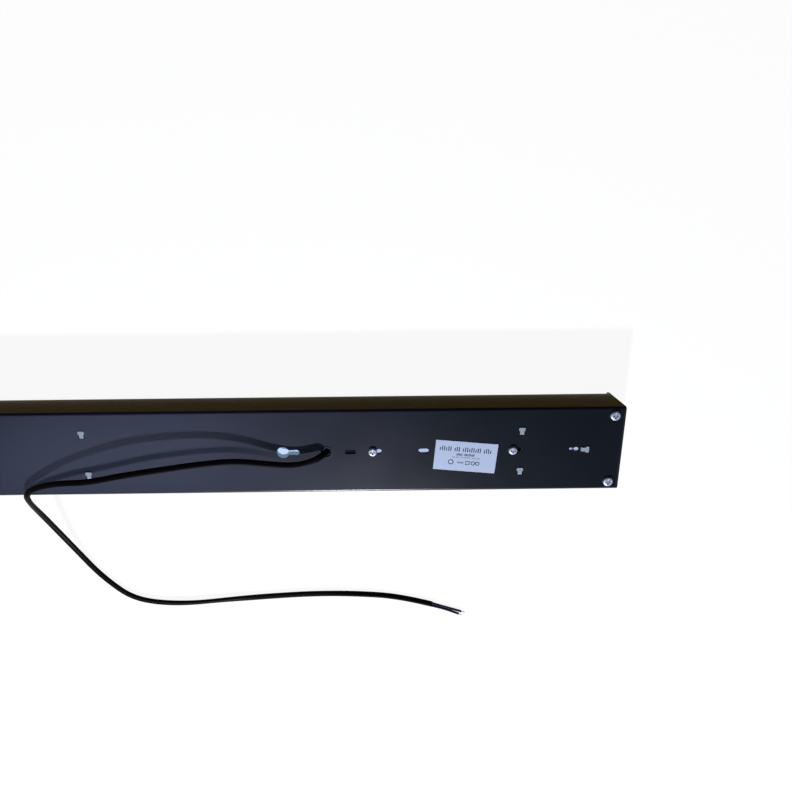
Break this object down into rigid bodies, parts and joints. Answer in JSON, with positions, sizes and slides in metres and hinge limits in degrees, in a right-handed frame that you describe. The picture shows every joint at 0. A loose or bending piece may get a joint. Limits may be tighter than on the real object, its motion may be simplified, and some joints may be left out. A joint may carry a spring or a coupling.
{
  "type": "linear led batten light fitting",
  "caption": "Long black surface-mounted linear LED batten, shown rear plate up, with keyholes, screwed end caps, opal diffuser and a bare-ended mains cord.",
  "frame": {"origin": "centre of the face the fitting lies on, its light-emitting front, without the cord", "axes": "+X along the fitting towards the driver end, +Z out of the rear mounting plate, +Y across it"},
  "size_m": [1.2, 0.2537, 0.0662],
  "materials": {
    "black_steel": "semi-gloss black powder coat on folded sheet steel",
    "white_steel": "white polyester coil coat on folded sheet steel",
    "black_plastic": "moulded black plastic, fine texture",
    "white_plastic": "moulded white nylon",
    "zinc_screw": "bright zinc plated steel",
    "board_white": "white solder mask on aluminium circuit board",
    "chip_yellow": "yellow phosphor gel in a white package",
    "opal_diffuser": "opal extruded polycarbonate, satin",
    "driver_plastic": "moulded off-white plastic",
    "board_green": "green solder mask on glass-epoxy board",
    "ferrite_dark": "fired ferrite and dark winding tape",
    "capacitor_sleeve": "shrink sleeve over an aluminium can",
    "terminal_plastic": "moulded light grey nylon",
    "black_rubber": "moulded black rubber",
    "cord_sheath": "black flexible PVC sheath, satin",
    "core_insulation": "brown and blue flexible PVC core insulation",
    "lead_insulation": "red flexible PVC lead insulation",
    "label_film": "white self-adhesive polyester film",
    "tinned_copper": "bare tinned copper strands"
  },
  "bodies": {
    "root": {"rear_channel": "black_steel", "end_cap_right": "black_plastic", "end_cap_left": "black_plastic", "end_cap_screws": "zinc_screw", "gear_tray": "white_steel", "led_carrier": "white_steel", "carrier_screws": "zinc_screw", "led_board_1": "board_white", "led_board_2": "board_white", "led_board_3": "board_white", "led_board_4": "board_white", "led_chips": "chip_yellow", "board_rivets": "white_plastic", "board_connectors": "white_plastic", "diffuser": "opal_diffuser", "driver_case": "driver_plastic", "driver_cover": "driver_plastic", "driver_board": "board_green", "driver_board_posts": "driver_plastic", "driver_transformer": "ferrite_dark", "driver_capacitors": "capacitor_sleeve", "driver_choke": "ferrite_dark", "driver_input_terminal": "terminal_plastic", "driver_output_terminal": "terminal_plastic", "driver_screws": "zinc_screw", "driver_nuts": "zinc_screw", "cable_grommet": "black_rubber", "cord_clamp": "black_plastic", "inner_cord": "cord_sheath", "inner_cores": "core_insulation", "output_leads": "lead_insulation", "rating_label": "label_film", "mains_cord": "cord_sheath", "cord_cores": "core_insulation", "core_tips": "tinned_copper"}
  },
  "joints": []
}
